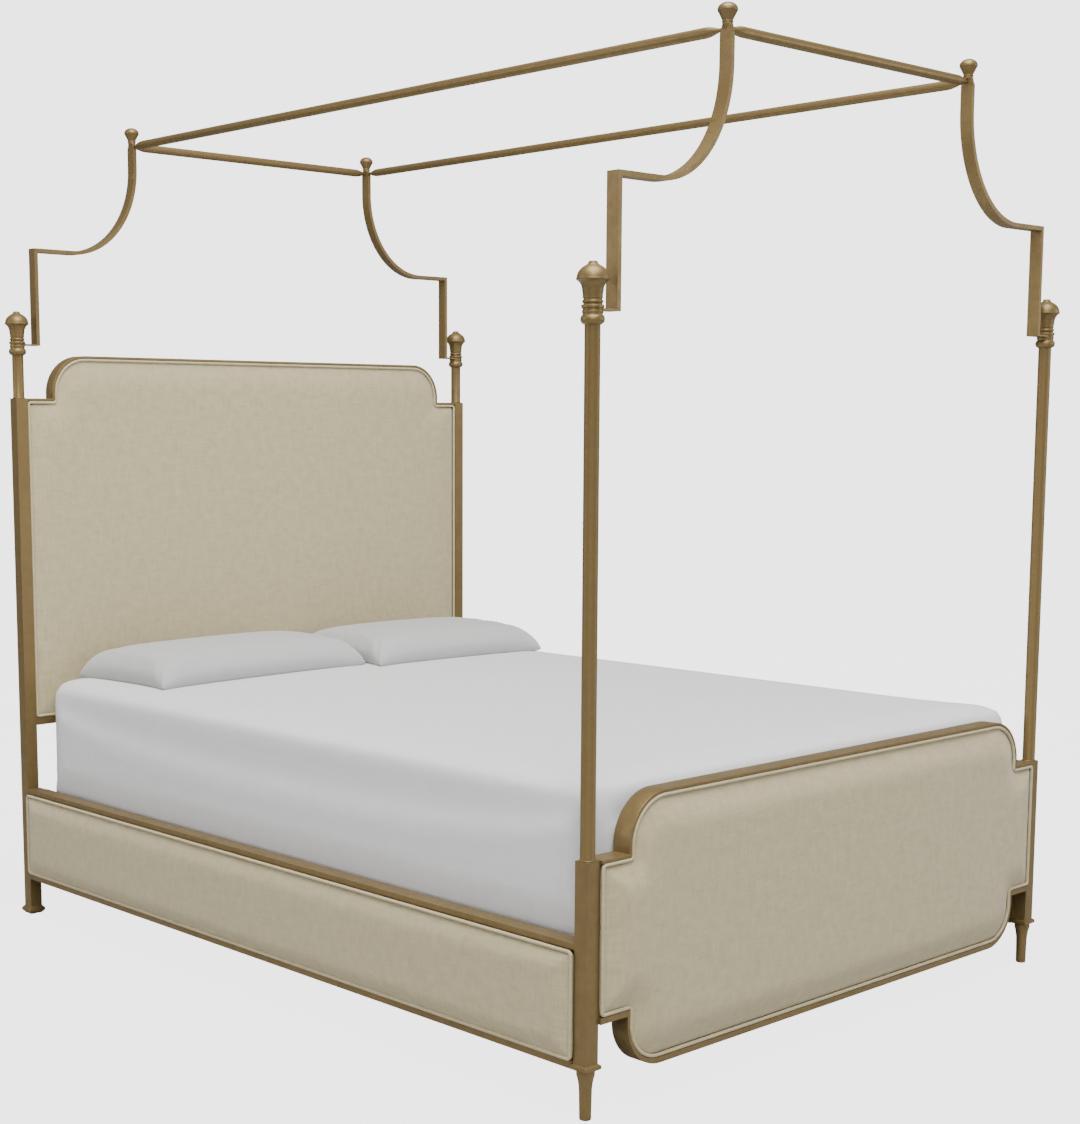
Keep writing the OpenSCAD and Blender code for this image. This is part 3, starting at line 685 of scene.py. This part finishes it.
def staple_row(name, path, faces_at, put):
    """Staples along a path, each a small flattened wire over the hem."""
    half = [size / 2 for size in STAPLE]
    run = np.roll(path, -1, axis=0) - path
    length = np.linalg.norm(run, axis=1)
    total = length.sum()
    starts = np.concatenate([[0], np.cumsum(length)[:-1]])
    points, faces = [], []
    for k in range(int(total / STAPLE_PITCH)):
        at = (k + 0.5) * STAPLE_PITCH
        i = int(np.searchsorted(starts, at, side="right") - 1)
        along = run[i] / length[i]
        lean = STAPLE_LEAN * math.sin(k * 2.3)
        along = np.array([along[0] - lean * along[1], along[1] + lean * along[0]])
        across = np.array([-along[1], along[0]])
        middle = path[i] + run[i] * (at - starts[i]) / length[i]
        base = len(points)
        floor_w = CLOTH_THICK + HEM_RAISED - STAPLE_SUNK
        rounded = ((-1, -1, 0), (1, -1, 0), (1, 1, 0), (-1, 1, 0), (-0.9, -0.6, 1), (0.9, -0.6, 1),
                   (0.9, 0.6, 1), (-0.9, 0.6, 1))
        for a, b, c in rounded:
            spot = middle + along * a * half[0] + across * b * half[1]
            points.append((*spot, floor_w + c * STAPLE[2]))
        faces += [tuple(base + q for q in face) for face in
                  ((3, 2, 1, 0), (4, 5, 6, 7), (0, 1, 5, 4), (1, 2, 6, 5), (2, 3, 7, 6), (3, 0, 4, 7))]
    return mesh_object(name, put(np.array(points), faces_at), faces)


def facing_head(points, face):
    return np.stack([points[:, 0], face + points[:, 2], points[:, 1]], axis=1)


def inward_right(points, face):
    return np.stack([face - points[:, 2], points[:, 0], points[:, 1]], axis=1)


def inward_left(points, face):
    return np.stack([points[:, 2] - face, points[:, 0], points[:, 1]], axis=1)


def even_loop(outline, count):
    """The loop again, as count points at even steps along it from its first point."""
    run = np.linalg.norm(np.roll(outline, -1, axis=0) - outline, axis=1)
    at = np.concatenate([[0], np.cumsum(run)])
    closed = np.vstack([outline, outline[:1]])
    steps = np.linspace(0, at[-1], count, endpoint=False)
    return np.column_stack([np.interp(steps, at, closed[:, k]) for k in (0, 1)])


def add_cover(prefix, ending, outline_of, face, put):
    """A dust cover and its staples. Its outline and its hem get the same number of points."""
    outline = rounded_outline(outline_of(0.0), COVER_SPACING)
    hem = rounded_outline(outline_of(HEM_WIDTH), COVER_SPACING)
    count = min(len(outline), len(hem))
    outline, hem = even_loop(outline, count), even_loop(hem, count)
    cover = cover_sheet(f"{prefix}_cambric{ending}", outline, hem, face, put)
    finish_soft(cover, "frame", "dust_cover", f"{prefix}_cover{ending}")
    shade(cover, False)
    path = rounded_outline(outline_of(STAPLE_INSET), STAPLE_PATH_SPACING)
    staples = staple_row(f"{prefix}_staples{ending}", path, face, put)
    finish_soft(staples, "frame", "zinc_steel")
    shade(staples, False)


def rail_cover_outline(inset):
    return side_rectangle("rail_cover_right", inset, SHARPEST)


add_cover("headboard", "", headboard_outline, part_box("headboard_board")[1][1], facing_head)
add_cover("footboard", "", footboard_outline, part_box("footboard_board")[1][1], facing_head)
COVER_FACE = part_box("rail_cover_right")[1][0]
add_cover("rail", "_right", rail_cover_outline, COVER_FACE, inward_right)
add_cover("rail", "_left", rail_cover_outline, COVER_FACE, inward_left)

# ---------------------------------------------------------------- mattress and pillows

MATTRESS_VOXEL = 0.023
MATTRESS_TOP_R = 0.032
MATTRESS_BOTTOM_R = 0.025
MATTRESS_CORNER_R = 0.006
MATTRESS_SWELL = 0.007
MATTRESS_MARGIN = 0.0025     # how much smaller it starts
MATTRESS_PROUD = 0.005       # how far its top, and its sides above the rails, may stand out
MATTRESS_FREE = 0.08         # how far above the rails its sides reach that
RAIL_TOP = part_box("rail_frame_right")[1][2]


def bevelled_box(name, low, high):
    """A closed box with small upright corners and a generous roll along its top edges."""
    made = bmesh.new()
    bmesh.ops.create_cube(made, size=1.0)
    for vertex in made.verts:
        vertex.co = [low[k] if vertex.co[k] < 0 else high[k] for k in range(3)]

    def round_off(radius, segments, wanted):
        edges = [edge for edge in made.edges if wanted(*(v.co for v in edge.verts))]
        bmesh.ops.bevel(made, geom=edges, offset=radius, segments=segments, profile=0.5,
                        affect="EDGES")

    round_off(MATTRESS_CORNER_R, 4, lambda p, q: abs(p.z - q.z) > 0.1)
    top, bottom = max(v.co.z for v in made.verts), min(v.co.z for v in made.verts)
    round_off(MATTRESS_TOP_R, 6, lambda p, q: min(p.z, q.z) > top - 1e-5)
    round_off(MATTRESS_BOTTOM_R, 4, lambda p, q: max(p.z, q.z) < bottom + 1e-5)
    mesh = bpy.data.meshes.new(name)
    made.to_mesh(mesh)
    made.free()
    obj = bpy.data.objects.new(name, mesh)
    SCENE.collection.objects.link(obj)
    return obj


def add_mattress():
    low, high = (np.array(corner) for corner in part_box("mattress"))
    start_low, start_high = low + MATTRESS_MARGIN, high - MATTRESS_MARGIN
    start_low[2], start_high[2] = low[2], high[2] + MATTRESS_MARGIN / 2
    obj = bevelled_box("mattress_cover", start_low, start_high)
    remesh(obj, MATTRESS_VOXEL)
    start = get_points(obj)
    inflate(obj, MATTRESS_SWELL, held=start[:, 2] < low[2] + MATTRESS_BOTTOM_R)
    subdivide(obj)
    points = get_points(obj)
    free = np.clip((points[:, 2:] - RAIL_TOP) / MATTRESS_FREE, 0, 1)
    proud = MATTRESS_PROUD * free * free * (3 - 2 * free)
    points[:, :2] = np.clip(points[:, :2], low[:2] - proud, high[:2] + proud)
    points[:, 2] = np.clip(points[:, 2], low[2], high[2] + MATTRESS_PROUD)
    set_points(obj, points)
    finish_soft(obj, "mattress", "cotton", "mattress")


PILLOW_CELL = 0.012
PILLOW_SWELL = 0.012
PILLOW_HALF = 0.075          # half its thickness before the simulation
PILLOW_ROUND = 0.078         # how far in from the seam the filling takes to rise
PILLOW_RIDGE = 2.1           # how sharply the two sides of a corner meet
PILLOW_BOW = 0.012           # how far the sides pull in between the corners
PILLOW_SETTLED = 0.90        # its height as a share of its CAD solid's
PILLOW_REST = 0.0003         # its gap above the mattress's CAD solid
PILLOW_SEAM_MIDDLE = 0.034   # height of the seam at the middle of a side
PILLOW_SEAM_CORNER = 0.009
PILLOW_TURN_UNDER = 0.011    # how fast the underside leaves the seam
PILLOW_PUCKER = 0.0034       # depth of the gathers beside the seams
PILLOW_GATHERS_END = 17      # waves of the gathers, in radians per half side
PILLOW_GATHERS_SIDE = 29
PILLOW_GATHERS_REACH = (0.05, 0.035)
PILLOW_FOLD = 0.0065         # depth of the two folds that run in from each corner
PILLOW_FOLD_APART = 0.022    # from each of them to the corner's diagonal
PILLOW_FOLD_WIDTH = 0.011
PILLOW_CREST_WIDTH = 0.010   # of the crest between them
PILLOW_FOLD_LENGTH = 0.11
PILLOW_SMOOTH_BELOW = 0.02   # gathers and folds fade out below this height over the seam


def pillow_rise(from_end, from_side):
    """How full the pillow is, 0 to 1, at these distances in from its seams."""
    inside = (from_end ** -PILLOW_RIDGE + from_side ** -PILLOW_RIDGE) ** (-1 / PILLOW_RIDGE)
    return (1 - math.exp(-inside / PILLOW_ROUND)) ** 0.6


def pillow_form(name, width, depth):
    """Two layers of cloth joined at their edges, already domed, round the origin."""
    columns, rows = int(width / PILLOW_CELL), int(depth / PILLOW_CELL)
    points, faces, index = [], [], {}
    for layer in (1, -1):
        for i in range(columns + 1):
            for j in range(rows + 1):
                rim = i in (0, columns) or j in (0, rows)
                if rim and layer < 0:
                    index[layer, i, j] = index[1, i, j]
                    continue
                index[layer, i, j] = len(points)
                a, b = 2 * i / columns - 1, 2 * j / rows - 1
                bow_x = 1 - PILLOW_BOW / (width / 2) * (1 - b * b) * abs(a) ** 3
                bow_y = 1 - PILLOW_BOW / (depth / 2) * (1 - a * a) * abs(b) ** 3
                plump = 0.0 if rim else pillow_rise((1 - abs(a)) * width / 2, (1 - abs(b)) * depth / 2)
                points.append((a * width / 2 * bow_x, b * depth / 2 * bow_y,
                               layer * PILLOW_HALF * plump))
    for layer in (1, -1):
        for i in range(columns):
            for j in range(rows):
                ring = [index[layer, i, j], index[layer, i + 1, j], index[layer, i + 1, j + 1],
                        index[layer, i, j + 1]]
                faces.append(tuple(ring if layer > 0 else reversed(ring)))
    return mesh_object(name, points, faces)


def add_pillow(name, node_name, middle, width, depth, turn):
    """One pillow, with its middle at (x, y), turned by so many degrees."""
    low, high = (np.array(corner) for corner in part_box(node_name))
    obj = pillow_form(name, width, depth)
    inflate(obj, PILLOW_SWELL)
    subdivide(obj)
    points = get_points(obj)
    span = points.max(axis=0) - points.min(axis=0)
    points[:, :2] *= np.array([width, depth]) / span[:2]
    a, b = 2 * points[:, 0] / width, 2 * points[:, 1] / depth
    corner = np.clip((np.abs(a) * np.abs(b)) ** 4, 0, 1)
    seam = PILLOW_SEAM_MIDDLE + (PILLOW_SEAM_CORNER - PILLOW_SEAM_MIDDLE) * corner
    tall = (high[2] - low[2]) * PILLOW_SETTLED
    from_end, from_side = (1 - np.abs(a)) * width / 2, (1 - np.abs(b)) * depth / 2
    pucker = (np.sin(b * PILLOW_GATHERS_END + 0.6) * np.exp(-from_end / PILLOW_GATHERS_REACH[0])
              + 0.6 * np.sin(a * PILLOW_GATHERS_SIDE + 1.1)
              * np.exp(-from_side / PILLOW_GATHERS_REACH[1]))
    upper = points[:, 2] / points[:, 2].max() * (tall - PILLOW_SEAM_MIDDLE)
    beside = np.abs(from_end - from_side)
    near_corner = np.exp(-((from_end + from_side) / PILLOW_FOLD_LENGTH) ** 2)
    furrow = np.exp(-((beside - PILLOW_FOLD_APART) / PILLOW_FOLD_WIDTH) ** 2)
    fold = near_corner * (furrow - 0.5 * np.exp(-(beside / PILLOW_CREST_WIDTH) ** 2))
    relief = PILLOW_PUCKER * pucker - PILLOW_FOLD * fold
    upper += relief * np.clip(upper / PILLOW_SMOOTH_BELOW, 0, 1)
    lower = -seam * (1 - np.exp(-np.abs(points[:, 2]) / PILLOW_TURN_UNDER))
    z = low[2] + PILLOW_REST + seam + np.where(points[:, 2] > 0, upper, lower)
    angle = math.radians(turn)
    x = middle[0] + points[:, 0] * math.cos(angle) - points[:, 1] * math.sin(angle)
    y = middle[1] + points[:, 0] * math.sin(angle) + points[:, 1] * math.cos(angle)
    set_points(obj, np.stack([x, y, z], axis=1))
    # the pillows keep the cotton slot but get its darker copy: painted shade
    finish_soft(obj, node_name, "cotton", node_name, material="pillow_cotton_painted_shade")


add_mattress()
add_pillow("pillow_left_cover", "pillow_left", (-0.304, 0.820), width=0.730, depth=0.380, turn=3.5)
add_pillow("pillow_right_cover", "pillow_right", (0.3986, 0.784), width=0.624, depth=0.420,
           turn=-3.0)

# ---------------------------------------------------------------- floor and lights

FLOOR_SIZE = 300.0
FLOOR_GREY = 0.42
FLOOR_ROUGHNESS = 0.9
FLOOR_SPECULAR = 0.1
WORLD_STRENGTH = 0.34
BACKDROP_STRENGTH = 3.3      # how bright the studio looks; it lights the bed far less
FLOOR_GLOW = 0.85            # how much of the floor's look is this brightness, not shading
WHITE = (1, 1, 1, 1)
# Each light's name, place, the spot that it faces, diameter and watts
STUDIO_LIGHTS = (
    ("overhead", (-1.2, -1.8, 6.5), (0, 0, 0.6), 5.0, 800),
    ("key", (-3.5, -3.9, 4.1), (0, 0, 0.8), 3.2, 165),
    ("side", (-4.8, 2.6, 2.3), (-0.4, -0.4, 1.2), 2.6, 58),
    ("front", (3.8, -4.5, 2.1), (0, -0.6, 1.2), 2.4, 75),
)


def seen_only(tree, lighting, look, share):
    """Mixes in a plain bright look for the camera, leaving the light it gives as it was."""
    path = node(tree, "ShaderNodeLightPath").outputs["Is Camera Ray"]
    factor = calc(tree, "MULTIPLY", path, share)
    return node(tree, "ShaderNodeMixShader", {0: factor, 1: lighting, 2: look}).outputs["Shader"]


def add_floor():
    h = FLOOR_SIZE / 2
    floor = mesh_object("floor", [(-h, -h, 0), (h, -h, 0), (h, h, 0), (-h, h, 0)], [(0, 1, 2, 3)])
    material, tree, shader = new_material("floor")
    shader.inputs["Base Color"].default_value = (FLOOR_GREY, FLOOR_GREY, FLOOR_GREY, 1)
    shader.inputs["Roughness"].default_value = FLOOR_ROUGHNESS
    shader.inputs["Specular IOR Level"].default_value = FLOOR_SPECULAR
    glow = node(tree, "ShaderNodeEmission", {"Strength": BACKDROP_STRENGTH / FLOOR_GLOW})
    mixed = seen_only(tree, shader.outputs["BSDF"], glow.outputs["Emission"], FLOOR_GLOW)
    tree.links.new(mixed, tree.nodes["Material Output"].inputs["Surface"])
    floor.data.materials.append(material)


def add_light(name, place, target, size, watts):
    data = bpy.data.lights.new(name, "AREA")
    data.shape = "DISK"
    data.size = size
    data.energy = watts
    light = bpy.data.objects.new(name, data)
    SCENE.collection.objects.link(light)
    light.location = place
    direction = Vector(target) - Vector(place)
    light.rotation_euler = direction.to_track_quat("-Z", "Y").to_euler()


def add_studio():
    world = bpy.data.worlds.new("studio")
    SCENE.world = world
    world.use_nodes = True
    tree = world.node_tree
    background = tree.nodes["Background"]
    background.inputs["Color"].default_value = WHITE
    background.inputs["Strength"].default_value = WORLD_STRENGTH
    look = node(tree, "ShaderNodeBackground", {"Color": WHITE, "Strength": BACKDROP_STRENGTH})
    mixed = seen_only(tree, background.outputs[0], look.outputs[0], 1.0)
    tree.links.new(mixed, tree.nodes["World Output"].inputs["Surface"])
    for light in STUDIO_LIGHTS:
        add_light(*light)


add_floor()
add_studio()
